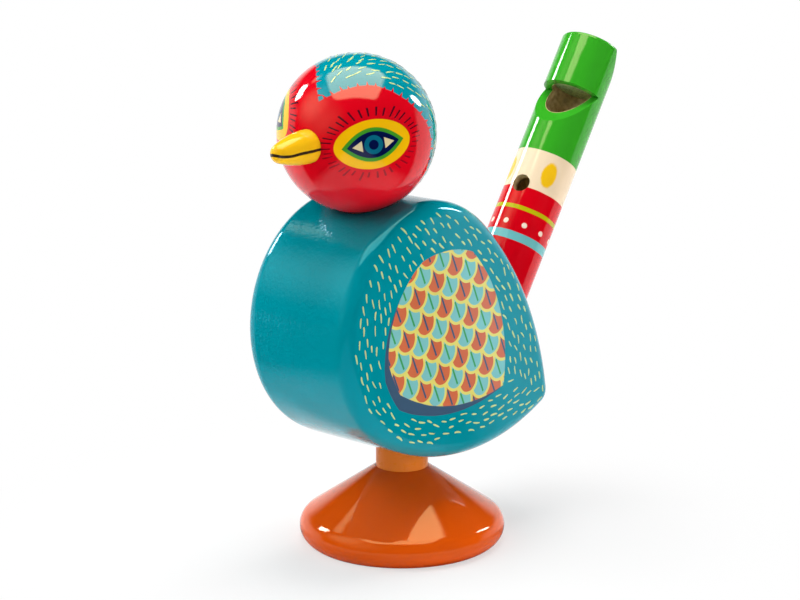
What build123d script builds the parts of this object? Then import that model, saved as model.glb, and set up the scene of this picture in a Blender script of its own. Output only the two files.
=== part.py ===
from build123d import *
import os
from math import acos, atan2, cos, degrees, radians, sin, sqrt

# Painted wooden bird call, in millimetres.
# The bird faces -Y, its left side is +X, and the origin is the centre of the foot's base.
# It is blown at the tail, which is a fipple whistle that leans back out of the body.

# Glued fits
GLUE_GAP = 0.1  # radial room for glue round every dowel, tenon and tube
GLUE_POCKET = 0.5  # room left under every dowel, tenon and tube
DOWEL_CHAMFER = 0.8

# Foot
FOOT_D = 54.5
FOOT_H = 20.0
FOOT_RIM_R = 4.5
FOOT_RIM_UNDER = 58.0  # degrees that the rim's round runs on below its widest line

# Stem between the foot and the body
STEM_D = 13.8
STEM_IN_FOOT = 13.0
STEM_IN_BODY = 13.0

# Body: a flat-sided block with a round chest, drawn out to a tail tip
BODY_T = 36.0
BODY_EDGE_R = 4.0
CHEST_R = 32.3
CHEST_Y = -7.5
CHEST_Z = 61.1
TAIL_Y = 36.3
TAIL_Z = 35.7
TAIL_FLAT_R = 0.6  # round left at the tail tip of the flat side, inside the edge round
BACK_R = 84.0
BELLY_R = 66.0

# Head: a ball in a dished seat on the chest's round
HEAD_D = 40.0
HEAD_SINK = 2.4
HEAD_LEAN = 10.9  # degrees forward of upright, about the chest's centre
HEAD_TURN = 5.5  # degrees that the ball is glued on turned about the neck, towards the bird's left
NECK_D = 8.0
NECK_IN_HEAD = 12.0
NECK_IN_BODY = 14.0

# Beak: an ogive with a tenon
BEAK_D = 8.4
BEAK_OUT = 12.1
BEAK_TIP_R = 2.5
BEAK_DROOP = 2.8  # degrees below level
BEAK_SHOULDER = 1.0  # how deep the beak's full width is let into the ball
TENON_D = 5.5
TENON_L = 9.0

# Whistle tube
TUBE_D = 17.3
BORE_D = 12.5
TUBE_LEAN = 33.0  # degrees back from upright
TUBE_TURN = 8.0  # degrees that the tube is glued in turned about itself, towards the bird's left
TUBE_Z = 55.5  # height at which the tube's axis leaves the back
TUBE_OUT = 82.2
TUBE_IN_BODY = 18.0
TUBE_END_R = 0.8
BORE_END_WALL = 20.0  # solid wood left at the tube's inner end

# Voicing, measured from the blown end
WINDOW_AT = 15.5
WINDOW_DEPTH = 8.0
RAMP_L = 12.4
WINDWAY_H = 1.2
BLOCK_SET_BACK = 1.6  # from the window's edge to the end of the fipple block
TONE_HOLE_D = 5.0
TONE_HOLE_AT = 47.0
LIP_BEVEL_L = 17.0
LIP_END_T = 7.6

# The rounds and arcs of the body's outline, as points (y, z)
tail_r = BODY_EDGE_R + TAIL_FLAT_R
chest_centre = Vector(CHEST_Y, CHEST_Z)
tail_centre = Vector(TAIL_Y, TAIL_Z)
body_span = tail_centre - chest_centre
body_along = body_span.normalized()
body_across = Vector(-body_along.Y, body_along.X)


def enclosing_centre(radius, side):
    """Centre of the arc that wraps the chest and the tail tip, over the back (side 1) or the belly (-1)."""
    from_chest = radius - CHEST_R
    from_tail = radius - tail_r
    x = (from_chest**2 - from_tail**2 + body_span.length**2) / (2 * body_span.length)
    return chest_centre + body_along * x - body_across * (side * sqrt(from_chest**2 - x**2))


def touch(arc_centre, round_centre, round_r):
    """Point where an enclosing arc touches one of the rounds."""
    return round_centre + (round_centre - arc_centre).normalized() * round_r


def middle(arc_centre, radius, start, end):
    """Point halfway along the arc between two of its points."""
    return arc_centre + (start + end - arc_centre * 2).normalized() * radius


back_centre = enclosing_centre(BACK_R, 1)
belly_centre = enclosing_centre(BELLY_R, -1)
chest_back = touch(back_centre, chest_centre, CHEST_R)
tail_back = touch(back_centre, tail_centre, tail_r)
tail_belly = touch(belly_centre, tail_centre, tail_r)
chest_belly = touch(belly_centre, chest_centre, CHEST_R)
chest_front = chest_centre - body_along * CHEST_R

# The stem's ends
stem_z = FOOT_H - STEM_IN_FOOT
stem_top = belly_centre.Y - sqrt(BELLY_R**2 - belly_centre.X**2) + STEM_IN_BODY

# The neck's line, from the chest's centre up to the ball's
lean = radians(HEAD_LEAN)
neck_direction = Vector(0, -sin(lean), cos(lean))
head_centre = Vector(0, CHEST_Y, CHEST_Z) + neck_direction * (CHEST_R - HEAD_SINK + HEAD_D / 2)
neck_end = head_centre - neck_direction * (HEAD_D / 2 + NECK_IN_BODY)
neck_plane = Plane(origin=neck_end, x_dir=(0, cos(lean), sin(lean)), z_dir=neck_direction)
neck_l = NECK_IN_BODY + NECK_IN_HEAD

# The beak's line, from the ball's centre out to the tip
droop = radians(BEAK_DROOP)
neck_axis = Axis(head_centre, neck_direction)
beak_side = Vector(1, 0, 0).rotate(neck_axis, HEAD_TURN)
beak_direction = Vector(0, -cos(droop), -sin(droop)).rotate(neck_axis, HEAD_TURN)
beak_plane = Plane(origin=head_centre, x_dir=beak_side, z_dir=beak_direction)
beak_section = Plane(origin=head_centre, x_dir=beak_side, z_dir=beak_plane.y_dir * -1)
beak_root = sqrt((HEAD_D / 2) ** 2 - (BEAK_D / 2) ** 2)
beak_seat = beak_root - BEAK_SHOULDER
tenon_end = beak_seat - TENON_L

# The tube's line, from its inner end up to the blown end, with the window on the -Y side of its plane
tilt = radians(TUBE_LEAN)
tube_direction = Vector(0, sin(tilt), cos(tilt))
tube_leaves = Vector(0, back_centre.X + sqrt(BACK_R**2 - (TUBE_Z - back_centre.Y) ** 2), TUBE_Z)
tube_end = tube_leaves - tube_direction * TUBE_IN_BODY
tube_side = Vector(1, 0, 0).rotate(Axis(tube_end, tube_direction), TUBE_TURN)
tube_plane = Plane(origin=tube_end, x_dir=tube_side, z_dir=tube_direction)
tube_section = Plane(origin=tube_end, x_dir=tube_plane.y_dir, z_dir=tube_side)
tube_l = TUBE_OUT + TUBE_IN_BODY
tube_r = TUBE_D / 2
bore_r = BORE_D / 2
window_z = tube_l - WINDOW_AT

standing = (Align.CENTER, Align.CENTER, Align.MIN)


def drill(plane, diameter, depth):
    """Glue-fit hole along a plane's +Z, cut from the part in hand."""
    with Locations(plane.offset(-GLUE_POCKET).location):
        Cylinder(diameter / 2 + GLUE_GAP, depth + GLUE_POCKET, align=standing, mode=Mode.SUBTRACT)


def cut_lip_bevel():
    """Slanted cut behind the blown end, where the lower lip rests."""
    with BuildSketch(tube_section) as bevel:
        with BuildLine():
            Polyline(
                (tube_r, tube_l - LIP_BEVEL_L),
                (LIP_END_T - tube_r, tube_l),
                (tube_r, tube_l),
                close=True,
            )
        make_face()
    extrude(bevel.sketch, amount=TUBE_D, both=True, mode=Mode.SUBTRACT)


# Foot
rim_centre = Vector(FOOT_D / 2 - FOOT_RIM_R, FOOT_RIM_R * sin(radians(FOOT_RIM_UNDER)))
to_stem = Vector(STEM_D / 2, FOOT_H) - rim_centre
flank_angle = degrees(atan2(to_stem.Y, to_stem.X) - acos(FOOT_RIM_R / to_stem.length))
with BuildPart() as foot:
    with BuildSketch(Plane.XZ):
        with BuildLine():
            rim = CenterArc(rim_centre, FOOT_RIM_R, -FOOT_RIM_UNDER, FOOT_RIM_UNDER + flank_angle)
            Polyline(rim @ 1, (STEM_D / 2, FOOT_H), (0, FOOT_H), (0, 0), rim @ 0)
        make_face()
    revolve(axis=Axis.Z)
    drill(Plane.XY.offset(stem_z), STEM_D, FOOT_H)
foot.part.label = "foot"

# Stem
with BuildPart(Plane.XY.offset(stem_z)) as stem:
    Cylinder(STEM_D / 2, stem_top - stem_z, align=standing)
    chamfer(stem.faces().filter_by(GeomType.PLANE).edges(), length=DOWEL_CHAMFER)
stem.part.label = "stem"

# Body
with BuildPart() as body:
    with BuildSketch(Plane.YZ):
        with BuildLine():
            ThreePointArc(chest_back, middle(back_centre, BACK_R, chest_back, tail_back), tail_back)
            ThreePointArc(tail_back, middle(tail_centre, tail_r, tail_back, tail_belly), tail_belly)
            ThreePointArc(tail_belly, middle(belly_centre, BELLY_R, tail_belly, chest_belly), chest_belly)
            ThreePointArc(chest_belly, chest_front, chest_back)
        make_face()
    extrude(amount=BODY_T / 2, both=True)
    fillet(body.faces().filter_by(Axis.X).edges(), radius=BODY_EDGE_R)
    with Locations(head_centre):
        Sphere(HEAD_D / 2 + GLUE_GAP, mode=Mode.SUBTRACT)
    drill(neck_plane, NECK_D, neck_l)
    drill(Plane.XY.offset(stem_top).rotated((180, 0, 0)), STEM_D, stem_top)
    drill(tube_plane, TUBE_D, tube_l)
body.part.label = "body"

# Head
with BuildPart() as head:
    with Locations(neck_plane.offset(NECK_IN_BODY + HEAD_D / 2).location):
        Sphere(HEAD_D / 2)
    drill(neck_plane.offset(neck_l).rotated((180, 0, 0)), NECK_D, neck_l)
    drill(beak_plane.offset(tenon_end), TENON_D, HEAD_D)
    with Locations(beak_plane.offset(beak_seat).location):
        Cylinder(BEAK_D / 2 + GLUE_GAP, HEAD_D, align=standing, mode=Mode.SUBTRACT)
head.part.label = "head"

# Neck dowel
with BuildPart(neck_plane) as neck_dowel:
    Cylinder(NECK_D / 2, neck_l, align=standing)
    chamfer(neck_dowel.faces().filter_by(GeomType.PLANE).edges(), length=DOWEL_CHAMFER)
neck_dowel.part.label = "neck_dowel"

# Beak: the ogive's arc leaves the root straight ahead and runs into the tip's round
tip_centre = Vector(0, HEAD_D / 2 + BEAK_OUT - BEAK_TIP_R)
ogive_l = tip_centre.Y - beak_root
ogive_r = ((BEAK_D / 2) ** 2 + ogive_l**2 - BEAK_TIP_R**2) / (BEAK_D - 2 * BEAK_TIP_R)
ogive_centre = Vector(BEAK_D / 2 - ogive_r, beak_root)
ogive_start = Vector(BEAK_D / 2, beak_root)
ogive_end = touch(ogive_centre, tip_centre, BEAK_TIP_R)
tip = Vector(0, HEAD_D / 2 + BEAK_OUT)
with BuildPart() as beak:
    with BuildSketch(beak_section):
        with BuildLine():
            ThreePointArc(ogive_start, middle(ogive_centre, ogive_r, ogive_start, ogive_end), ogive_end)
            ThreePointArc(ogive_end, middle(tip_centre, BEAK_TIP_R, ogive_end, tip), tip)
            Polyline(
                tip,
                (0, tenon_end),
                (TENON_D / 2 - DOWEL_CHAMFER, tenon_end),
                (TENON_D / 2, tenon_end + DOWEL_CHAMFER),
                (TENON_D / 2, beak_seat),
                (BEAK_D / 2, beak_seat),
                ogive_start,
            )
        make_face()
    revolve(axis=Axis(head_centre, beak_direction))
beak.part.label = "beak"

# Whistle tube, with its bore, window, ramp, tone hole and lip bevel
window_floor = WINDOW_DEPTH - tube_r
ramp_run = RAMP_L / WINDOW_DEPTH
with BuildPart(tube_plane) as whistle_tube:
    Cylinder(tube_r, tube_l, align=standing)
    fillet(whistle_tube.faces().filter_by(GeomType.PLANE).edges(), radius=TUBE_END_R)
    with Locations((0, 0, BORE_END_WALL)):
        Cylinder(bore_r, tube_l, align=standing, mode=Mode.SUBTRACT)
    with BuildSketch(tube_section):
        with BuildLine():
            Polyline(
                (window_floor, window_z),
                (-TUBE_D, window_z),
                (-TUBE_D, window_z - (window_floor + TUBE_D) * ramp_run),
                close=True,
            )
        make_face()
    extrude(amount=TUBE_D, both=True, mode=Mode.SUBTRACT)
    with Locations((0, 0, tube_l - TONE_HOLE_AT)):
        Cylinder(TONE_HOLE_D / 2, TUBE_D, rotation=(90, 0, 0), align=standing, mode=Mode.SUBTRACT)
    cut_lip_bevel()
whistle_tube.part.label = "whistle_tube"

# Fipple block, whose flat leaves the windway under the bore's wall
block_l = WINDOW_AT - BLOCK_SET_BACK
with BuildPart(tube_plane.offset(tube_l - block_l)) as fipple_block:
    Cylinder(bore_r - GLUE_GAP, block_l, align=standing)
    with Locations((0, WINDWAY_H - bore_r, 0)):
        Box(BORE_D, BORE_D, block_l, align=(Align.CENTER, Align.MAX, Align.MIN), mode=Mode.SUBTRACT)
    cut_lip_bevel()
fipple_block.part.label = "fipple_block"

os.makedirs("parts", exist_ok=True)
for piece in (foot, stem, body, head, neck_dowel, beak, whistle_tube, fipple_block):
    export_step(piece.part, f"parts/{piece.part.label}.step")
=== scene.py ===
import bmesh
import bpy
import math
import random
from functools import reduce
from mathutils import Matrix, Vector


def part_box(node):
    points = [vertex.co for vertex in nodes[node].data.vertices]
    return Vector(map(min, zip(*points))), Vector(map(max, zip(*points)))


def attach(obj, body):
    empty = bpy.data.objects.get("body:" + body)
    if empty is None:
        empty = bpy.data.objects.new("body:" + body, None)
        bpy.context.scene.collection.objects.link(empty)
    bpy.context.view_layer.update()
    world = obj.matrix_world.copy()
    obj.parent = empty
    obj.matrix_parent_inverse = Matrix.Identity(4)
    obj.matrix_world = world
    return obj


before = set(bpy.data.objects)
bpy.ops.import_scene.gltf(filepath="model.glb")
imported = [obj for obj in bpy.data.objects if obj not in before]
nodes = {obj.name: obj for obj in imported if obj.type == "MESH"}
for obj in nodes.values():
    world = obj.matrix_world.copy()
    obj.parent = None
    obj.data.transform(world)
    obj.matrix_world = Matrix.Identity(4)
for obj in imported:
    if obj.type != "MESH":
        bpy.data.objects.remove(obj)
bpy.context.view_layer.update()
scene = bpy.context.scene
scene.view_settings.view_transform = "Standard"
MM = 0.001
HAND_SEED = 11
hand = random.Random(HAND_SEED)  # unevenness of the painter's hand


def srgb(r, g, b):
    """Linear colour of an 8-bit sRGB colour."""
    def linear(c):
        c = c / 255
        return c / 12.92 if c <= 0.04045 else ((c + 0.055) / 1.055) ** 2.4
    return (linear(r), linear(g), linear(b), 1.0)


# Paints
TURQUOISE = srgb(0, 139, 153)
FACE_RED = srgb(212, 6, 26)
EYE_YELLOW = srgb(244, 187, 8)
EYE_GREEN = srgb(62, 150, 38)
NAVY = srgb(4, 18, 68)
IRIS_TEAL = srgb(8, 104, 130)
EYE_WHITE = srgb(222, 208, 160)
LASH = srgb(44, 12, 28)
BEAK_YELLOW = srgb(244, 188, 24)
MOUTH_BROWN = srgb(52, 40, 26)
FOOT_ORANGE = srgb(222, 84, 10)
STEM_ORANGE = srgb(238, 124, 24)
TUBE_GREEN = srgb(52, 160, 34)
TUBE_CREAM = srgb(241, 215, 181)
TUBE_RED = srgb(214, 4, 22)
TUBE_OVAL = srgb(242, 188, 24)
TUBE_LIME = srgb(188, 182, 14)
TUBE_BLUE = srgb(112, 186, 188)
TUBE_DOT = srgb(250, 224, 204)
DASH_LEMON = srgb(190, 214, 146)
WING_ORANGE = srgb(206, 108, 72)
WING_AQUA = srgb(124, 192, 192)
WING_LEMON = srgb(224, 214, 112)
WING_GREEN = srgb(66, 158, 92)
WING_NAVY = srgb(62, 88, 114)
BARE_WOOD = srgb(222, 198, 150)
BARE_WOOD_DARK = srgb(186, 160, 116)
STAINED_WOOD = srgb(190, 220, 150)
STAINED_WOOD_DARK = srgb(158, 184, 120)

# Tints of the light and of the lacquer's sheen
WHITE = (1.0, 1.0, 1.0)
WARM = (1.0, 0.83, 0.52)
COOL = (0.12, 0.62, 1.0)
AMBER = (1.0, 0.9, 0.6)

# Sizes of the part that the painting follows, in millimetres and degrees
BODY_T = 36.0
BODY_EDGE_R = 4.0
CHEST = Vector((-7.5, 61.1))
CHEST_R = 32.3
TAIL = Vector((36.3, 35.7))
TAIL_R = 4.6
BACK_R = 84.0
BELLY_R = 66.0
HEAD_R = 20.0
HEAD_LEAN = 10.9
HEAD_TURN = 5.5
BEAK_DROOP = 2.8
BEAK_OUT = 12.1
TUBE_LEAN = 33.0
TUBE_TURN = 8.0
TUBE_TOP = Vector((0, 80.05, 124.44))
TUBE_R = 8.65
BORE_R = 6.25
TONE_HOLE_AT = 47.0
TONE_HOLE_R = 2.5

# The head's own directions: the beak's line, and the painted face's forward, left and up
FACE_DROOP = 1.5
FACE_ROLL = 11.0
head_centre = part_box("head")[1] / MM - Vector((HEAD_R, HEAD_R, HEAD_R))
lean = math.radians(HEAD_LEAN)
neck_direction = Vector((0, -math.sin(lean), math.cos(lean)))
upward = Vector((0, 0, 1))


def ahead(droop):
    """Direction out of the turned head, the given degrees below level."""
    droop = math.radians(droop)
    head_turn = Matrix.Rotation(math.radians(HEAD_TURN), 3, neck_direction)
    return head_turn @ Vector((0, -math.cos(droop), -math.sin(droop)))


beak_line = ahead(BEAK_DROOP)
beak_up = beak_line.cross(upward.cross(beak_line).normalized())
forward = ahead(FACE_DROOP)
face_left = Matrix.Rotation(math.radians(FACE_ROLL), 3, -forward) @ upward.cross(forward).normalized()
face_up = forward.cross(face_left)

# The whistle's own directions: down from the blown end, the window's side, and the bird's left
tilt = math.radians(TUBE_LEAN)
tube_down = Vector((0, -math.sin(tilt), -math.cos(tilt)))
tube_turn = Matrix.Rotation(math.radians(TUBE_TURN), 3, -tube_down)
tube_front = tube_turn @ Vector((0, -math.cos(tilt), math.sin(tilt)))
tube_left = tube_turn @ Vector((1, 0, 0))


class Field:
    """A number that varies over a surface. A formula on it becomes the material's math nodes."""

    def __init__(self, tree, socket):
        self.tree = tree
        self.socket = socket

    def math(self, operation, *others):
        node = self.tree.nodes.new("ShaderNodeMath")
        node.operation = operation
        for socket, value in zip(node.inputs, (self, *others)):
            if isinstance(value, Field):
                self.tree.links.new(value.socket, socket)
            else:
                socket.default_value = value
        return Field(self.tree, node.outputs[0])

    def __add__(self, other):
        return self.math("ADD", other)

    def __sub__(self, other):
        return self.math("SUBTRACT", other)

    def __mul__(self, other):
        return self.math("MULTIPLY", other)

    def __truediv__(self, other):
        return self.math("DIVIDE", other)

    def __pow__(self, other):
        return self.math("POWER", other)

    def __neg__(self):
        return self * -1.0

    def __rsub__(self, other):
        return -self + other

    def __abs__(self):
        return self.math("ABSOLUTE")

    __radd__ = __add__
    __rmul__ = __mul__


def larger(a, b):
    """The larger of two numbers, or of a field and a number or field."""
    return a.math("MAXIMUM", b) if isinstance(a, Field) else max(a, b)


def length(a, b):
    """Length of a flat vector of numbers or fields."""
    return (a * a + b * b) ** 0.5


def rounded(a, b, power):
    """Like a length, but 1 on an oval that grows squarer with the power."""
    return (a**power + b**power) ** (1 / power)


def share(parts, vector):
    """Scalar product of three numbers or fields with a vector."""
    return parts[0] * vector[0] + parts[1] * vector[1] + parts[2] * vector[2]


def dotted(tree, point, direction):
    """How far a point of a node tree lies along a direction."""
    along = tree.nodes.new("ShaderNodeVectorMath")
    along.operation = "DOT_PRODUCT"
    tree.links.new(point, along.inputs[0])
    along.inputs[1].default_value = direction
    return Field(tree, along.outputs["Value"])


def under(field, limit, soft):
    """Mask that is 1 where a field is under a limit, with an edge of the given softness."""
    step = field.tree.nodes.new("ShaderNodeMapRange")
    step.interpolation_type = "SMOOTHSTEP"
    field.tree.links.new((field - limit).socket, step.inputs["Value"])
    step.inputs["From Min"].default_value = -soft / 2
    step.inputs["From Max"].default_value = soft / 2
    step.inputs["To Min"].default_value = 1.0
    step.inputs["To Max"].default_value = 0.0
    return Field(field.tree, step.outputs["Result"])


def over(field, limit, soft):
    """Mask that is 1 where a field is over a limit."""
    return 1.0 - under(field, limit, soft)


def between(field, low, high, soft):
    """Mask that is 1 where a field lies between two limits."""
    return over(field, low, soft) * under(field, high, soft)


# Brushed lacquer, with lumps and depths in millimetres
LACQUER_IOR = 1.45
LACQUER_ROUGHNESS = 0.06
LACQUER_GLOSS = 0.5
CLOUD_SIZE = 9.0
CLOUD_DETAIL = 4.0
CLOUD_SHARE = 0.10
DULLED_SIZE = 3.0
DULLED_DETAIL = 3.0
DULLED_SHARE = 0.9
WAVE_SIZE = 4.5
WAVE_DETAIL = 1.0
WAVE_DEPTH = 0.035
BRISTLE_SIZE = 0.8
BRISTLE_SHARE = 0.06

# Places of the colour sockets among all those of a Mix node
MIX_LOW = 6
MIX_HIGH = 7
MIX_RESULT = 2


class Paint:
    """A painted surface, whose colour is built up by laying one painted shape over another."""

    def __init__(self, name, colour):
        self.material = bpy.data.materials.new(name)
        self.material.use_nodes = True
        self.tree = self.material.node_tree
        self.shader = self.tree.nodes["Principled BSDF"]
        self.point = self.tree.nodes.new("ShaderNodeTexCoord").outputs["Object"]
        self.colour = colour

    def put(self, value, socket):
        """Sets a socket to a constant, a field or another socket."""
        if isinstance(value, Field):
            self.tree.links.new(value.socket, socket)
        elif isinstance(value, bpy.types.NodeSocket):
            self.tree.links.new(value, socket)
        else:
            socket.default_value = value

    def distance(self, origin, direction):
        """How far each point lies from an origin along a direction, in millimetres."""
        offset = self.tree.nodes.new("ShaderNodeVectorMath")
        offset.operation = "SUBTRACT"
        self.tree.links.new(self.point, offset.inputs[0])
        offset.inputs[1].default_value = Vector(origin) * MM
        return dotted(self.tree, offset.outputs["Vector"], Vector(direction) / MM)

    def noise(self, size, detail=2.0):
        """Cloudy unevenness round zero, with lumps of about the given size in millimetres."""
        texture = self.tree.nodes.new("ShaderNodeTexNoise")
        self.tree.links.new(self.point, texture.inputs["Vector"])
        texture.inputs["Scale"].default_value = 1 / (size * MM)
        texture.inputs["Detail"].default_value = detail
        return Field(self.tree, texture.outputs["Fac"]) - 0.5

    def chance(self, index):
        """A number from 0 to 1 that differs from one whole-numbered index to the next."""
        texture = self.tree.nodes.new("ShaderNodeTexWhiteNoise")
        texture.noise_dimensions = "1D"
        self.put(index, texture.inputs["W"])
        return Field(self.tree, texture.outputs["Value"])

    def blend(self, mask, low, high):
        """Colour that runs from one to another as a mask goes from 0 to 1."""
        mix = self.tree.nodes.new("ShaderNodeMix")
        mix.data_type = "RGBA"
        self.put(mask, mix.inputs[0])
        self.put(low, mix.inputs[MIX_LOW])
        self.put(high, mix.inputs[MIX_HIGH])
        return mix.outputs[MIX_RESULT]

    def lay(self, mask, colour):
        """Paints a colour over what is there, where a mask is 1."""
        self.colour = self.blend(mask, self.colour, colour)

    def tint(self, brightness):
        """Multiplies the colour by a field."""
        mix = self.tree.nodes.new("ShaderNodeVectorMath")
        mix.operation = "SCALE"
        self.put(self.colour[:3] if isinstance(self.colour, tuple) else self.colour, mix.inputs[0])
        self.put(brightness, mix.inputs["Scale"])
        self.colour = mix.outputs["Vector"]

    def bump(self, height, depth):
        """Raises the surface by a field, with its full range of 1 as deep as given in millimetres."""
        node = self.tree.nodes.new("ShaderNodeBump")
        node.inputs["Distance"].default_value = depth * MM
        self.put(height, node.inputs["Height"])
        self.tree.links.new(node.outputs["Normal"], self.shader.inputs["Normal"])

    def lacquer(self, roughness=LACQUER_ROUGHNESS, texture=0.0, gloss=LACQUER_GLOSS, sheen=WHITE):
        """Finishes the surface in brushed lacquer: slightly cloudy colour, faint waves, uneven gloss."""
        self.tint(1.0 + self.noise(CLOUD_SIZE, CLOUD_DETAIL) * CLOUD_SHARE)
        self.put(self.colour, self.shader.inputs["Base Color"])
        dulled = 1.0 + self.noise(DULLED_SIZE, DULLED_DETAIL) * DULLED_SHARE
        self.put(roughness * dulled, self.shader.inputs["Roughness"])
        self.shader.inputs["IOR"].default_value = LACQUER_IOR
        self.shader.inputs["Specular IOR Level"].default_value = gloss
        self.shader.inputs["Specular Tint"].default_value = (*sheen, 1)
        waves = self.noise(WAVE_SIZE, WAVE_DETAIL) + self.noise(BRISTLE_SIZE, WAVE_DETAIL) * BRISTLE_SHARE
        self.bump(waves + texture, WAVE_DEPTH)
        return self.material


# Eye, with its sizes in shares of the ball's radius
EYE_LON = math.radians(49.2)
EYE_LAT = math.radians(9.4)
EYE_TILT = math.radians(14.5)
EYE_SIDE_FROM = 0.15
EYE_SIDE_SOFT = 0.05
EYE_YELLOW_HALF = (0.473, 0.299)
EYE_YELLOW_SOFT = 0.03
EYE_POWER = 1.9
EYE_GREEN_HALF = (0.385, 0.207)
EYE_NAVY_HALF = (0.325, 0.162)
ALMOND_SOFT = 0.06
EYE_WHITE_FROM = 0.138
EYE_WHITE_HALF = (0.26, 0.068)
EYE_WHITE_SOFT = 0.08
EYE_WHITE_INNER_SOFT = 0.05
IRIS_R = 0.115
PUPIL_R = 0.060
IRIS_SOFT = 0.008

# Lashes round the eye
LASHES = 38
LASH_GAP = 0.04
LASH_L = 0.115
LASH_SHORTEST = 0.58  # of the length
LASH_VARIES = 0.5
LASH_UPPER_L = 0.2
LASH_UPPER_SOFT = 0.2
LASH_SHARE = 0.24  # of the spacing between two lashes
LASH_SIDE_SOFT = 0.10
LASH_END_SOFT = 0.012
LASH_INK = 0.62
LASH_UPPER_INK = 0.33
LASH_DRAW = 31.0  # sets these chances apart from the jitter's

# Red face and the fringe round its upper edge
FACE_HALF = (0.86, 0.68)
FACE_SHIFT = -0.04
FACE_POWER = 1.7
FACE_BACK = 0.72
FACE_SOFT = 0.02
FACE_WOBBLE = 0.03
FACE_WOBBLE_SIZE = 3.0
FRINGE_TICKS = 40
FRINGE_L = 0.08
FRINGE_SHORTEST = 0.4  # of the length
FRINGE_VARIES = 0.6
FRINGE_HALF = 0.15  # of the spacing between two strokes
FRINGE_DRAW = 71.0  # sets these chances apart from the jitter's
TICK_JITTER = 0.3  # of the spacing, for lashes and fringe

eye_level = Vector((-math.sin(EYE_LON), math.cos(EYE_LON), 0))
eye_out = Vector((math.cos(EYE_LON), math.sin(EYE_LON), math.tan(EYE_LAT))).normalized()
eye_rise = eye_out.cross(eye_level)
eye_along = eye_level * math.cos(EYE_TILT) + eye_rise * math.sin(EYE_TILT)
eye_across = eye_out.cross(eye_along)


def face_reach(place):
    """Under 1 inside the red face: a rounded lobe over each eye, carried straight down below eye level."""
    along = abs(share(place, eye_level) - FACE_SHIFT) / FACE_HALF[0]
    rise = larger(share(place, eye_rise), 0.0) / FACE_HALF[1]
    return larger(rounded(along, rise, FACE_POWER), FACE_BACK - place[0])


def ticks(paint, angle, count):
    """Strokes round a centre: how far a point is from its stroke's middle, and the stroke's number."""
    turn = angle * (count / math.tau)
    index = turn.math("FLOOR")
    aside = abs(turn - index - 0.5 + (paint.chance(index) - 0.5) * TICK_JITTER)
    return aside, index


def paint_head():
    paint = Paint("head_lacquer", TURQUOISE)
    place = (
        paint.distance(head_centre, forward) / HEAD_R,
        abs(paint.distance(head_centre, face_left) / HEAD_R),
        paint.distance(head_centre, face_up) / HEAD_R,
    )
    along = share(place, eye_along)
    across = share(place, eye_across)
    ring = length(along, across)
    eye_side = over(share(place, eye_out), EYE_SIDE_FROM, EYE_SIDE_SOFT)

    # Red face with a fringe of fine strokes round its upper edge
    reach = face_reach(place) + paint.noise(FACE_WOBBLE_SIZE) * FACE_WOBBLE
    angle = share(place, eye_rise).math("ARCTAN2", share(place, eye_level) - FACE_SHIFT)
    aside, index = ticks(paint, angle, FRINGE_TICKS)
    varied = FRINGE_SHORTEST + paint.chance(index + FRINGE_DRAW) * FRINGE_VARIES
    fringe = larger(1.0 - aside / FRINGE_HALF, 0.0) * varied * FRINGE_L
    paint.lay(under(reach - fringe, 1.0, FACE_SOFT), FACE_RED)

    # Lashes, longer and darker over the eye than under it
    oval = rounded(abs(along) / EYE_YELLOW_HALF[0], abs(across) / EYE_YELLOW_HALF[1], EYE_POWER)
    gap = ring * (1.0 - oval**-1.0)
    turn = (across / EYE_YELLOW_HALF[1]).math("ARCTAN2", along / EYE_YELLOW_HALF[0])
    aside, index = ticks(paint, turn, LASHES)
    upper = over(across, 0.0, LASH_UPPER_SOFT)
    varied = LASH_SHORTEST + paint.chance(index + LASH_DRAW) * LASH_VARIES + upper * LASH_UPPER_L
    lash_span = between(gap, LASH_GAP, LASH_L * varied + LASH_GAP, LASH_END_SOFT)
    lash = under(aside, LASH_SHARE / 2, LASH_SIDE_SOFT) * lash_span
    paint.lay(lash * eye_side * (LASH_INK + upper * LASH_UPPER_INK), LASH)

    # Eye, from the yellow oval inwards
    paint.lay(under(oval, 1.0, EYE_YELLOW_SOFT) * eye_side, EYE_YELLOW)
    for half, colour in ((EYE_GREEN_HALF, EYE_GREEN), (EYE_NAVY_HALF, NAVY)):
        almond = abs(across) / half[1] + (along / half[0]) ** 2.0
        paint.lay(under(almond, 1.0, ALMOND_SOFT) * eye_side, colour)
    corner = (abs(along) - EYE_WHITE_FROM) / (EYE_WHITE_HALF[0] - EYE_WHITE_FROM)
    white = under(abs(across) / EYE_WHITE_HALF[1] + corner, 1.0, EYE_WHITE_SOFT)
    paint.lay(white * over(corner, 0.0, EYE_WHITE_INNER_SOFT) * eye_side, EYE_WHITE)
    for radius, colour in ((IRIS_R, IRIS_TEAL), (PUPIL_R, NAVY)):
        paint.lay(under(ring, radius, IRIS_SOFT) * eye_side, colour)
    return paint.lacquer()


# Beak, with the line of the mouth
MOUTH_LEVEL = -0.37
MOUTH_SAG = -0.22
MOUTH_SAG_AT = 3.1
MOUTH_SAG_L = 2.0
MOUTH_TIP_L = 0.45
MOUTH_HALF = 0.36
MOUTH_SOFT = 0.12
MOUTH_WOBBLE = 0.12
MOUTH_WOBBLE_SIZE = 1.5


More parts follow.
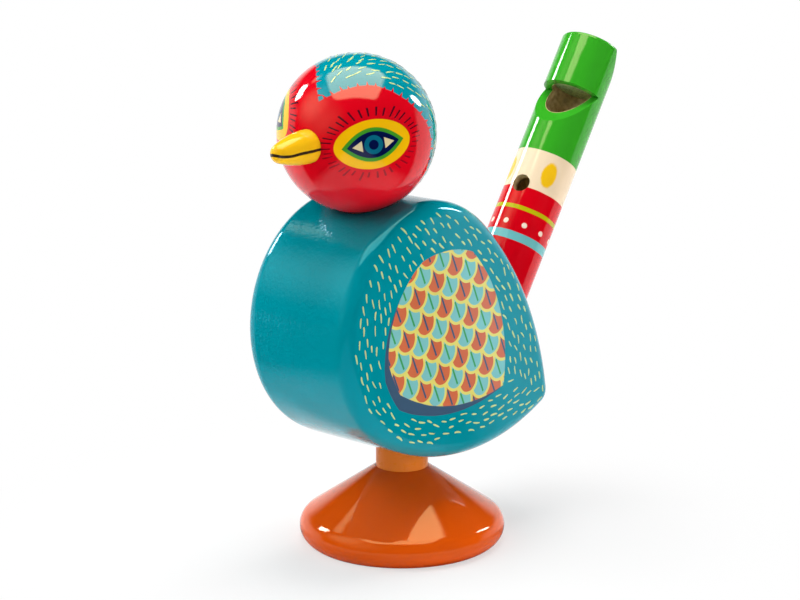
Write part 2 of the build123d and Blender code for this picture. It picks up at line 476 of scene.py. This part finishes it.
def paint_beak():
    paint = Paint("beak_lacquer", BEAK_YELLOW)
    from_tip = HEAD_R + BEAK_OUT - paint.distance(head_centre, beak_line)
    height = paint.distance(head_centre, beak_up)
    sag = (-(((from_tip - MOUTH_SAG_AT) / MOUTH_SAG_L) ** 2.0)).math("EXPONENT") * MOUTH_SAG
    rise = 1.0 - (from_tip * (-1.0 / MOUTH_TIP_L)).math("EXPONENT")
    wobble = paint.noise(MOUTH_WOBBLE_SIZE) * MOUTH_WOBBLE
    mouth = abs(height - (sag + MOUTH_LEVEL) * rise + wobble)
    paint.lay(under(mouth, MOUTH_HALF, MOUTH_SOFT), MOUTH_BROWN)
    return paint.lacquer()


# Whistle, measured from the blown end
CREAM_FROM = 36.5
RED_FROM = 47.85
LIME_AT = 53.9
LIME_W = 1.2
BLUE_FROM = 60.8
BLUE_TO = 63.25
BAND_SOFT = 0.15
BAND_WOBBLE = 0.25
BAND_WOBBLE_SIZE = 5.0
DOTS_AT = 58.4
DOTS_ROUND = 10
DOT_R = 0.75
DOT_SOFT = 0.2
DOT_WOBBLE = 0.2
DOT_WOBBLE_SIZE = 0.8
OVALS_AT = 42.6
OVALS_ROUND = 4
OVALS_TURN = math.pi / 4
OVAL_HALF = (2.1, 3.6)
OVAL_SOFT = 0.25
OVAL_WOBBLE = 0.15
OVAL_WOBBLE_SIZE = 1.0
PAINT_IN_HOLE = 0.25
PAINT_IN_HOLE_SOFT = 0.1
TONE_HOLE_MARGIN = 0.05
TONE_HOLE_SOFT = 0.02
BORE_MARGIN = 0.1
BORE_SOFT = 0.1
BORE_GRAIN_SIZE = 1.2
BORE_GRAIN_DETAIL = 3.0
BORE_GRAIN_SOFT = 0.4


def paint_tube():
    paint = Paint("tube_lacquer", TUBE_GREEN)
    down = paint.distance(TUBE_TOP, tube_down)
    front = paint.distance(TUBE_TOP, tube_front)
    left = paint.distance(TUBE_TOP, tube_left)
    angle = left.math("ARCTAN2", front)
    radius = length(front, left)
    edge = down + paint.noise(BAND_WOBBLE_SIZE) * BAND_WOBBLE

    def round_the_tube(count, turned):
        """Distance round the tube from the nearest of some evenly spaced places."""
        step = math.tau / count
        return ((angle + turned).math("WRAP", step / 2, -step / 2)) * TUBE_R

    paint.lay(over(edge, CREAM_FROM, BAND_SOFT), TUBE_CREAM)
    oval_aside = round_the_tube(OVALS_ROUND, OVALS_TURN) / OVAL_HALF[0]
    oval = length(oval_aside, (down - OVALS_AT) / OVAL_HALF[1])
    paint.lay(under(oval + paint.noise(OVAL_WOBBLE_SIZE) * OVAL_WOBBLE, 1.0, OVAL_SOFT), TUBE_OVAL)
    paint.lay(over(edge, RED_FROM, BAND_SOFT), TUBE_RED)
    paint.lay(between(edge, LIME_AT - LIME_W / 2, LIME_AT + LIME_W / 2, BAND_SOFT), TUBE_LIME)
    dot = length(round_the_tube(DOTS_ROUND, 0.0), down - DOTS_AT)
    paint.lay(under(dot + paint.noise(DOT_WOBBLE_SIZE) * DOT_WOBBLE, DOT_R, DOT_SOFT), TUBE_DOT)
    paint.lay(between(edge, BLUE_FROM, BLUE_TO, BAND_SOFT), TUBE_BLUE)

    # Bare wood inside the bore and in the tone hole
    hole = under(length(left, down - TONE_HOLE_AT), TONE_HOLE_R + TONE_HOLE_MARGIN, TONE_HOLE_SOFT)
    in_hole = hole * under(radius, TUBE_R - PAINT_IN_HOLE, PAINT_IN_HOLE_SOFT)
    grain = under(paint.noise(BORE_GRAIN_SIZE, BORE_GRAIN_DETAIL), 0.0, BORE_GRAIN_SOFT)
    bare = paint.blend(grain, BARE_WOOD, BARE_WOOD_DARK)
    paint.lay(larger(under(radius, BORE_R + BORE_MARGIN, BORE_SOFT), in_hole), bare)
    return paint.lacquer()


# Wing on each flat side, as discs (y, z, radius) whose overlap is its outline
WING_DISCS = (
    (1.9, 56.3, 26.8),
    (-3.0, 50.0, 30.5),
    (-21.5, 47.9, 42.1),
    (6.3, 91.5, 52.4),
    (8.0, 66.0, 34.6),
)
WING_TIP = (20.3, 40.8)
WING_SHADE_TURN = math.radians(5.5)
WING_SOFT = 0.12
WING_WOBBLE = 0.25
WING_WOBBLE_SIZE = 6.0
FLAT_MARGIN = 0.1
FLAT_SOFT = 0.05

# Feathers in the wing
FEATHER_R = 3.9
FEATHER_TURN = math.radians(24.0)
FEATHER_SOFT = 0.001
FEATHER_RIM = 0.80  # of the feather's radius
FEATHER_RIM_SOFT = 0.04
FEATHER_RIM_WOBBLE = 0.06
FEATHER_RIM_WOBBLE_SIZE = 1.5
ODD_ROW_SOFT = 0.01
QUILL_HALF = 0.30
QUILL_SOFT = 0.12
QUILL_REACH = 0.62  # of the feather's radius
QUILL_REACH_SOFT = 0.05

# Rim of the body, and its gloss
RIM_HALF = 14.0
RIM_SOFT = 2.0
RIM_GRAIN = 1.9
RIM_GRAIN_SIZE = 0.9
BODY_GLOSS = 0.64


def wing_edge(y, z):
    """How far a point of the flat side lies outside the wing, negative inside it."""
    return reduce(larger, [length(y - disc[0], z - disc[1]) - disc[2] for disc in WING_DISCS])


def wing_shade_edge(y, z):
    """The same for the dark copy of the wing that is swung down about its tip."""
    c = math.cos(WING_SHADE_TURN)
    s = math.sin(WING_SHADE_TURN)
    y = y - WING_TIP[0]
    z = z - WING_TIP[1]
    return wing_edge(y * c + z * s + WING_TIP[0], z * c - y * s + WING_TIP[1])


def paint_body():
    paint = Paint("body_lacquer", TURQUOISE)
    x = abs(paint.distance((0, 0, 0), (1, 0, 0)))
    y = paint.distance((0, 0, 0), (0, 1, 0))
    z = paint.distance((0, 0, 0), (0, 0, 1))
    side = over(x, BODY_T / 2 - FLAT_MARGIN, FLAT_SOFT)
    wobble = paint.noise(WING_WOBBLE_SIZE) * WING_WOBBLE
    paint.lay(under(wing_shade_edge(y, z) + wobble, 0.0, WING_SOFT) * side, WING_NAVY)
    wing = under(wing_edge(y, z) + wobble, 0.0, WING_SOFT) * side

    # Rows of feathers, each row half a feather to the side of the one above
    c = math.cos(FEATHER_TURN)
    s = math.sin(FEATHER_TURN)
    down = (y * s - z * c) / FEATHER_R
    across = (y * c + z * s) / FEATHER_R
    row = down.math("FLOOR")

    def feather(row):
        """Place of a point in the nearest feather of a row, across it and down it from its centre."""
        aside = (across + row).math("WRAP", 1.0, -1.0)
        return aside, down - row

    upper = feather(row)
    lower = feather(row + 1.0)
    on_upper = under(length(*upper), 1.0, FEATHER_SOFT)
    aside = lower[0] + (upper[0] - lower[0]) * on_upper
    ring = length(*lower) + (length(*upper) - length(*lower)) * on_upper
    number = row + 1.0 - on_upper
    odd = over((number * 0.5).math("FRACT"), 0.25, ODD_ROW_SOFT)
    paint.lay(wing, WING_ORANGE)
    paint.lay(wing * odd, WING_AQUA)
    rim = ring + paint.noise(FEATHER_RIM_WOBBLE_SIZE) * FEATHER_RIM_WOBBLE
    paint.lay(wing * over(rim, FEATHER_RIM, FEATHER_RIM_SOFT), WING_LEMON)
    in_reach = under(ring, QUILL_REACH, QUILL_REACH_SOFT)
    quill = under(abs(aside) * FEATHER_R, QUILL_HALF, QUILL_SOFT) * in_reach
    paint.lay(wing * quill * odd, WING_GREEN)
    paint.lay(wing * quill * (1.0 - odd), WING_NAVY)

    # The end grain of the rim shows through its lacquer
    grain = under(x, RIM_HALF, RIM_SOFT) * paint.noise(RIM_GRAIN_SIZE) * RIM_GRAIN
    return paint.lacquer(texture=grain, gloss=BODY_GLOSS, sheen=COOL)


def paint_foot():
    return Paint("foot_lacquer", FOOT_ORANGE).lacquer(sheen=AMBER)


# Stem, duller than the rest
STEM_ROUGHNESS = 0.30
STEM_GLOSS = 0.2


def paint_stem():
    return Paint("stem_lacquer", STEM_ORANGE).lacquer(STEM_ROUGHNESS, gloss=STEM_GLOSS)


# Unlacquered wood
GRAIN_SIZE = 0.7
GRAIN_STRETCH = (1.0, 1.0, 0.12)
GRAIN_DETAIL = 4.0
GRAIN_DARK_UNDER = 0.48
GRAIN_SOFT = 0.25
GRAIN_DEPTH = 0.05
WOOD_ROUGHNESS = 0.55
WOOD_ROUGHNESS_VARIES = 0.2


def grained_wood(name, light, dark):
    """Unlacquered wood with its grain along Z."""
    paint = Paint(name, light)
    grain = paint.tree.nodes.new("ShaderNodeTexNoise")
    stretch = paint.tree.nodes.new("ShaderNodeMapping")
    stretch.inputs["Scale"].default_value = GRAIN_STRETCH
    paint.tree.links.new(paint.point, stretch.inputs["Vector"])
    paint.tree.links.new(stretch.outputs["Vector"], grain.inputs["Vector"])
    grain.inputs["Scale"].default_value = 1 / (GRAIN_SIZE * MM)
    grain.inputs["Detail"].default_value = GRAIN_DETAIL
    streak = Field(paint.tree, grain.outputs["Fac"])
    paint.lay(under(streak, GRAIN_DARK_UNDER, GRAIN_SOFT), dark)
    paint.put(paint.colour, paint.shader.inputs["Base Color"])
    paint.put(WOOD_ROUGHNESS + streak * WOOD_ROUGHNESS_VARIES, paint.shader.inputs["Roughness"])
    paint.bump(streak, GRAIN_DEPTH)
    return paint.material


finishes = {
    "body": paint_body(),
    "head": paint_head(),
    "beak": paint_beak(),
    "foot": paint_foot(),
    "stem": paint_stem(),
    "whistle_tube": paint_tube(),
    "neck_dowel": grained_wood("dowel_wood", BARE_WOOD, BARE_WOOD_DARK),
    "fipple_block": grained_wood("block_wood", STAINED_WOOD, STAINED_WOOD_DARK),
}
for name, material in finishes.items():
    nodes[name].data.materials.clear()
    nodes[name].data.materials.append(material)

# Brush strokes, as thin pads of paint
STROKE_L = 2.3
STROKE_SIDES = 12
STROKE_PROUD = 0.05
STROKE_SUNK = 0.15
STROKE_VARIES = (0.8, 1.2)
STROKE_TURN = 0.14
STROKE_BEND = 0.06
STROKE_TAPER = 0.25
STROKE_END_POWER = 0.8
STROKE_SIDE_POWER = 0.7


def add_stroke(mesh, normals, middle, along, across, width, lift):
    """Adds one stroke. lift gives the point and the outward direction at a height over the surface."""
    long_half = STROKE_L * hand.uniform(*STROKE_VARIES) / 2
    wide_half = width * hand.uniform(*STROKE_VARIES) / 2
    turn = hand.gauss(0, STROKE_TURN)
    bend = hand.gauss(0, STROKE_BEND)
    rings = {STROKE_PROUD: [], -STROKE_SUNK: []}
    for k in range(STROKE_SIDES):
        t = math.tau * (k + 0.5) / STROKE_SIDES
        a = long_half * math.copysign(abs(math.cos(t)) ** STROKE_END_POWER, math.cos(t))
        b = wide_half * math.copysign(abs(math.sin(t)) ** STROKE_SIDE_POWER, math.sin(t))
        b = b * (1 - STROKE_TAPER * math.cos(t)) + bend * a * a
        a, b = a * math.cos(turn) - b * math.sin(turn), a * math.sin(turn) + b * math.cos(turn)
        for height, ring in rings.items():
            point, normal = lift(middle + along * a + across * b, height)
            ring.append(mesh.verts.new(point * MM))
            normals.append(normal)
    top = rings[STROKE_PROUD]
    bottom = rings[-STROKE_SUNK]
    point, normal = lift(middle, STROKE_PROUD)
    crown = mesh.verts.new(point * MM)
    normals.append(normal)
    mesh.faces.new(bottom[::-1])
    for k in range(STROKE_SIDES):
        n = (k + 1) % STROKE_SIDES
        mesh.faces.new((top[k], bottom[k], bottom[n], top[n]))
        mesh.faces.new((crown, top[k], top[n]))


def finish_strokes(name, mesh, normals, material):
    """Turns a set of strokes into one piece of the scene."""
    bmesh.ops.recalc_face_normals(mesh, faces=mesh.faces)
    data = bpy.data.meshes.new(name)
    mesh.to_mesh(data)
    mesh.free()
    data.shade_smooth()
    data.normals_split_custom_set_from_vertices(normals)
    data.materials.append(material)
    piece = bpy.data.objects.new(name, data)
    scene.collection.objects.link(piece)
    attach(piece, "root")


# Dashes strewn over the flat sides
DASH_W = 0.44
DASH_INSET = 3.1
DASH_APART = (3.1, 1.75)
DASH_TRIES = 12000
WING_MARGIN = 1.1


def arc_centre(radius, side):
    """Centre of the outline's arc over the back (side 1) or under the belly (side -1)."""
    span = TAIL - CHEST
    along = span.normalized()
    across = Vector((-along.y, along.x))
    from_chest = radius - CHEST_R
    from_tail = radius - TAIL_R
    x = (from_chest**2 - from_tail**2 + span.length_squared) / (2 * span.length)
    return CHEST + along * x - across * side * math.sqrt(from_chest**2 - x**2)


def bearing(vector):
    """Angle of a flat vector."""
    return math.atan2(vector.y, vector.x)


back_centre = arc_centre(BACK_R, 1)
belly_centre = arc_centre(BELLY_R, -1)
back_angle = bearing(CHEST - back_centre)
belly_angle = bearing(CHEST - belly_centre)


def side_flow(point):
    """Depth of a point inside the body's outline, the way out to it, and the lean of a dash there.

    The dashes follow the outline, except over the shoulder, where they lean from upright at the chest
    to the slope of the back.
    """
    from_chest = point - CHEST
    angle = bearing(from_chest) % math.tau
    if back_angle <= angle <= belly_angle % math.tau:
        height = math.pi - angle
        rise = min(max(height / (math.pi / 2), 0.0), 1.0)
        lean = back_angle * rise * rise * (3 - 2 * rise) - min(height, 0.0)
        return CHEST_R - from_chest.length, from_chest.normalized(), lean
    from_back = point - back_centre
    from_belly = point - belly_centre
    if BACK_R - from_back.length < BELLY_R - from_belly.length:
        return BACK_R - from_back.length, from_back.normalized(), bearing(from_back)
    return BELLY_R - from_belly.length, from_belly.normalized(), bearing(from_belly) + math.pi


def crowded(point, along, placed):
    """Whether a dash at a point would come too close to one of those already placed."""
    for other in placed:
        offset = other - point
        if math.hypot(offset.dot(along) / DASH_APART[0], offset.cross(along) / DASH_APART[1]) < 1:
            return True
    return False


def side_dashes():
    mesh = bmesh.new()
    normals = []
    for side in (1, -1):
        def lift(point, height):
            depth, out, _ = side_flow(point)
            sine = max(0.0, 1 - depth / BODY_EDGE_R)
            cosine = math.sqrt(1 - sine**2)
            normal = Vector((side * cosine, out.x * sine, out.y * sine))
            sunk = BODY_EDGE_R * (1 - cosine)
            return Vector((side * (BODY_T / 2 - sunk), point.x, point.y)) + normal * height, normal
        placed = []
        for _ in range(DASH_TRIES):
            y = hand.uniform(CHEST.x - CHEST_R, TAIL.x + TAIL_R)
            z = hand.uniform(TAIL.y - TAIL_R, CHEST.y + CHEST_R)
            point = Vector((y, z))
            depth, _, lean = side_flow(point)
            along = Vector((math.sin(lean), -math.cos(lean)))
            clear = min(wing_edge(y, z), wing_shade_edge(y, z))
            if depth > DASH_INSET and clear > WING_MARGIN and not crowded(point, along, placed):
                placed.append(point)
                add_stroke(mesh, normals, point, along, Vector((-along.y, along.x)), DASH_W, lift)
    finish_strokes("side_dashes", mesh, normals, dash_paint)


# Dashes on the cap, in rings round the face's forward direction, that flow back over the head
CAP_DASH_W = 0.42
CAP_RING_FIRST = 36
CAP_RING_STEP = 7.2
CAP_RING_END = 172
CAP_RING_JITTER = 0.02
CAP_DASH_STEP = 2.7
CAP_DASH_JITTER = 0.15  # of the spacing between two dashes
CAP_MARGIN = 1.12
CAP_LOWEST = -0.80  # along the neck, near where the head sits on the body
CAP_FLOW = 0.65
CAP_FLOW_FROM = 0.25


def cap_dashes():
    mesh = bmesh.new()
    normals = []
    axes = Matrix((forward, face_left, face_up))

    def lift(point, height):
        outward = (point - head_centre).normalized()
        return head_centre + outward * (HEAD_R + height), outward

    ring = 0
    polar = CAP_RING_FIRST
    while polar < CAP_RING_END:
        away = math.radians(polar)
        count = round(math.tau * HEAD_R * math.sin(away) / CAP_DASH_STEP)
        for k in range(count):
            jitter = hand.uniform(-CAP_DASH_JITTER, CAP_DASH_JITTER)
            turn = math.tau * (k + 0.5 * (ring % 2) + jitter) / count
            tilted = away + hand.gauss(0, CAP_RING_JITTER)
            local = Vector((
                math.cos(tilted),
                math.sin(tilted) * math.cos(turn),
                math.sin(tilted) * math.sin(turn),
            ))
            mirrored = (local.x, abs(local.y), local.z)
            outward = axes.transposed() @ local
            if face_reach(mirrored) < CAP_MARGIN or outward.dot(neck_direction) < CAP_LOWEST:
                continue
            backward = (Vector((-1, 0, 0)) + local * local.x).normalized()
            eye = Vector((eye_out.x, math.copysign(eye_out.y, local.y), eye_out.z))
            round_eye = local.cross(eye).normalized()
            if round_eye.dot(backward) < 0:
                round_eye.negate()
            share_round = CAP_FLOW * min(1.0, abs(local.y) / CAP_FLOW_FROM)
            flow = axes.transposed() @ backward.lerp(round_eye, share_round).normalized()
            middle = head_centre + outward * HEAD_R
            add_stroke(mesh, normals, middle, flow, outward.cross(flow), CAP_DASH_W, lift)
        polar += CAP_RING_STEP
        ring += 1
    finish_strokes("cap_dashes", mesh, normals, dash_paint)


dash_paint = Paint("dash_lacquer", DASH_LEMON).lacquer()
side_dashes()
cap_dashes()

# Camera, fitted to the photograph
CAMERA_AZIMUTH = math.radians(42.0)
CAMERA_ELEVATION = math.radians(12.95)
CAMERA_DISTANCE = 533.3 * MM
CAMERA_TARGET = Vector((0, 0, 64.54 * MM))
CAMERA_LENS = 92.25
CAMERA_SENSOR = 36
CAMERA_SHIFT = -0.0025
CAMERA_CLIP = (0.01, 20)

back = Vector((
    math.sin(CAMERA_AZIMUTH) * math.cos(CAMERA_ELEVATION),
    -math.cos(CAMERA_AZIMUTH) * math.cos(CAMERA_ELEVATION),
    math.sin(CAMERA_ELEVATION),
))
camera_data = bpy.data.cameras.new("camera")
camera_data.lens = CAMERA_LENS
camera_data.sensor_width = CAMERA_SENSOR
camera_data.shift_x = CAMERA_SHIFT
camera_data.clip_start = CAMERA_CLIP[0]
camera_data.clip_end = CAMERA_CLIP[1]
camera = bpy.data.objects.new("camera", camera_data)
camera.location = CAMERA_TARGET + back * CAMERA_DISTANCE
camera.rotation_euler = (-back).to_track_quat("-Z", "Y").to_euler()
scene.collection.objects.link(camera)
scene.camera = camera
camera_right = upward.cross(back).normalized()
camera_up = back.cross(camera_right)

# Lamps that light the object and don't show in its lacquer
LIGHTS = (
    ("top_light", (0.35, 0.35), (0.0, 0.75, 0.10), 13.0, WHITE),
    ("left_light", (0.50, 0.50), (-0.54, 0.47, 0.27), 5.5, WHITE),
    ("left_back_light", (0.50, 0.50), (-0.60, 0.30, -0.37), 1.8, WHITE),
    ("right_light", (0.50, 0.50), (0.60, 0.08, 0.45), 2.8, WHITE),
    ("right_back_light", (0.50, 0.50), (0.55, 0.45, -0.31), 3.6, WHITE),
)

# Lamps that only show in the lacquer, each with its outline and the share of it that fades out
BOX = 8.0
ROUND_BOX = 4.0
OVAL = 2.0
HIGHLIGHTS = (
    ("soft_box", (0.78, 0.76), (-0.02, 0.66, 0.19), 6.8, WARM, BOX, 0.15),
    ("left_box", (0.95, 0.80), (-0.66, 0.46, 0.22), 2.3, WARM, OVAL, 1.0),
    ("front_box", (1.30, 1.10), (-0.66, 0.266, 0.626), 0.95, WARM, OVAL, 1.0),
    ("left_glow", (0.18, 0.15), (-0.433, 0.632, -0.178), 3.0, WARM, OVAL, 0.8),
    ("strip_left", (0.20, 0.17), (-0.553, 0.455, -0.237), 26.0, WHITE, ROUND_BOX, 0.2),
    ("strip_right", (0.11, 0.25), (0.60, 0.405, -0.245), 26.0, WHITE, OVAL, 0.2),
)


def lamp(name, size, place, radiance, tint):
    """Lamp that faces the object from a place along the camera's right, up and back, first side level."""
    place = camera_right * place[0] + camera_up * place[1] + back * place[2]
    toward = place.normalized()
    level = (camera_right - toward * toward.dot(camera_right)).normalized()
    light = bpy.data.lights.new(name, "AREA")
    light.shape = "RECTANGLE"
    light.size = size[0]
    light.size_y = size[1]
    light.color = tint
    light.energy = radiance * math.pi * size[0] * size[1]
    item = bpy.data.objects.new(name, light)
    turned = Matrix((level, toward.cross(level), toward)).transposed().to_4x4()
    item.matrix_world = Matrix.Translation(CAMERA_TARGET + place) @ turned
    scene.collection.objects.link(item)
    return item


def fade(light, power, soft):
    """Rounds a lamp's corners and fades it out over an outer share of its half-width."""
    light.use_nodes = True
    tree = light.node_tree
    point = tree.nodes.new("ShaderNodeNewGeometry").outputs["Parametric"]  # 0 to 1 over the lamp
    aside = abs(dotted(tree, point, (2, 0, 0)) - 1.0)
    above = abs(dotted(tree, point, (0, 2, 0)) - 1.0)
    out = rounded(aside, above, power)
    tree.links.new(under(out, 1 - soft / 2, soft).socket, tree.nodes["Emission"].inputs["Strength"])


for light in LIGHTS:
    lamp(*light).visible_glossy = False
for *light, power, soft in HIGHLIGHTS:
    shown = lamp(*light)
    shown.visible_diffuse = False
    fade(shown.data, power, soft)


def rays(tree):
    """Whether a ray is the camera's, and whether it was mirrored or passed through glass."""
    path = tree.nodes.new("ShaderNodeLightPath")
    mirrored = larger(
        Field(tree, path.outputs["Is Glossy Ray"]), Field(tree, path.outputs["Is Transmission Ray"])
    )
    return Field(tree, path.outputs["Is Camera Ray"]), mirrored


# Room and backdrop
ROOM = 0.04
BACKDROP_FROM = -0.15
BACKDROP_FROM_SOFT = 0.12
BACKDROP_TOP = 0.30
BACKDROP_TOP_SOFT = 0.20


def build_world():
    """A dim room, with a white backdrop low behind the object that the lacquer sees.

    The camera sees plain white all round.
    """
    world = bpy.data.worlds.new("studio")
    world.use_nodes = True
    scene.world = world
    tree = world.node_tree
    background = tree.nodes["Background"]
    direction = tree.nodes.new("ShaderNodeTexCoord").outputs["Generated"]
    behind = under(dotted(tree, direction, back), BACKDROP_FROM, BACKDROP_FROM_SOFT)
    low = under(dotted(tree, direction, upward), BACKDROP_TOP, BACKDROP_TOP_SOFT)
    seen, mirrored = rays(tree)
    glow = larger(seen, mirrored * behind * low)
    dim = (1.0 - mirrored) * ROOM
    tree.links.new(larger(glow, dim).socket, background.inputs["Strength"])
    background.inputs["Color"].default_value = (*WHITE, 1)


# Floor, with its lengths in metres
FLOOR_SIZE = 8
FLOOR_ROUGHNESS = 0.9
FLOOR_WHITE = 0.94
FLOOR_SEEN = 0.70
SHADOW_SHARE = 0.42
SHADOW_NEAR = 0.03
SHADOW_FAR = 0.12
FLOOR_BEHIND = -0.008
FLOOR_BEHIND_SLOPE = 0.06
FLOOR_BEHIND_SOFT = 0.025
FLOOR_SIDES = 0.10
FLOOR_SIDES_SOFT = 0.05
FLOOR_IN_FRONT = 0.55
FLOOR_IN_FRONT_SOFT = 0.02


def build_floor():
    """Matt white floor that keeps the shadow near the object and runs out into plain white.

    To the camera the lit floor is a little darker than its own tone, which deepens the shadow. The
    lacquer sees plain white behind the object, a dimmer share of the lit floor in a band in front of
    it, and nothing at the sides.
    """
    bpy.ops.mesh.primitive_plane_add(size=FLOOR_SIZE)
    floor = bpy.context.object
    floor.name = "floor"
    material = bpy.data.materials.new("floor_white")
    material.use_nodes = True
    tree = material.node_tree
    matt = tree.nodes["Principled BSDF"]
    matt.inputs["Roughness"].default_value = FLOOR_ROUGHNESS
    matt.inputs["Specular IOR Level"].default_value = 0.0
    point = tree.nodes.new("ShaderNodeTexCoord").outputs["Object"]
    aside = dotted(tree, point, camera_right)
    nearer = dotted(tree, point, upward.cross(-camera_right))
    spread = length(aside, nearer)
    behind = under(nearer + aside * FLOOR_BEHIND_SLOPE, FLOOR_BEHIND, FLOOR_BEHIND_SOFT)
    band = over(nearer, 0.0, FLOOR_IN_FRONT_SOFT) * under(abs(aside), FLOOR_SIDES, FLOOR_SIDES_SOFT)
    shadow = under(spread, (SHADOW_NEAR + SHADOW_FAR) / 2, SHADOW_FAR - SHADOW_NEAR) * SHADOW_SHARE
    seen, mirrored = rays(tree)
    tone = FLOOR_WHITE - seen * (FLOOR_WHITE - FLOOR_SEEN)
    tree.links.new(tone.socket, matt.inputs["Base Color"])
    plain = tree.nodes.new("ShaderNodeEmission")
    tree.links.new(larger(seen, behind).socket, plain.inputs["Strength"])
    blend = tree.nodes.new("ShaderNodeMixShader")
    plain_share = seen * (1.0 - shadow) + mirrored * (1.0 - band * FLOOR_IN_FRONT)
    tree.links.new(plain_share.socket, blend.inputs[0])
    tree.links.new(matt.outputs[0], blend.inputs[1])
    tree.links.new(plain.outputs[0], blend.inputs[2])
    tree.links.new(blend.outputs[0], tree.nodes["Material Output"].inputs["Surface"])
    floor.data.materials.append(material)
    return floor


build_world()
floor = build_floor()
